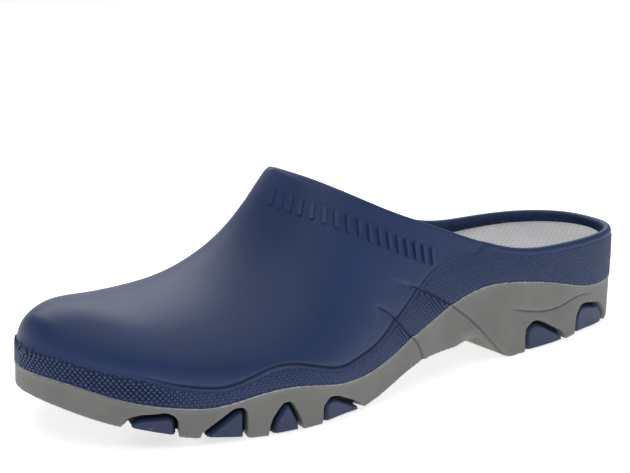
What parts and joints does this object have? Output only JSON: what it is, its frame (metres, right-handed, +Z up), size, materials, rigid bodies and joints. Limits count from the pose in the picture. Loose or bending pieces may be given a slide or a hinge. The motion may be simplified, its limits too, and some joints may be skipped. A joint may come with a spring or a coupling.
{
  "type": "garden clog",
  "caption": "Left open-back garden clog: moulded rubber upper on a cup sole with side windows for tread lugs and a loose textile-covered insole that lifts at the heel.",
  "frame": {"origin": "on the ground, at the middle of the clog's length and width", "axes": "+X to the toe, +Y to the outer (lateral) side of the left foot, +Z up"},
  "size_m": [0.2904, 0.1083, 0.0865],
  "materials": {
    "upper_rubber": "satin navy, smooth vamp and knurled lower band",
    "sole_rubber": "matte grey",
    "lug_rubber": "matte blue, fine texture",
    "insole_foam": "matte closed-cell foam",
    "insole_textile": "pale grey knit with a woven dot pattern"
  },
  "bodies": {
    "clog": {"upper": "upper_rubber", "sole": "sole_rubber", "lug_heel_1_lateral": "lug_rubber", "lug_heel_2_lateral": "lug_rubber", "lug_forefoot_1_lateral": "lug_rubber", "lug_forefoot_2_lateral": "lug_rubber", "lug_forefoot_3_lateral": "lug_rubber", "lug_forefoot_4_lateral": "lug_rubber", "lug_heel_1_medial": "lug_rubber", "lug_heel_2_medial": "lug_rubber", "lug_forefoot_1_medial": "lug_rubber", "lug_forefoot_2_medial": "lug_rubber", "lug_forefoot_3_medial": "lug_rubber", "lug_forefoot_4_medial": "lug_rubber"},
    "insole": {"insole_foam": "insole_foam", "insole_cover": "insole_textile"}
  },
  "joints": [
    {"name": "insole_lift", "type": "hinge", "parent": "clog", "child": "insole", "pos_m": [0.136, -0.007, 0.0201], "axis": [0, 1, 0], "range_deg": [0, 8]}
  ]
}
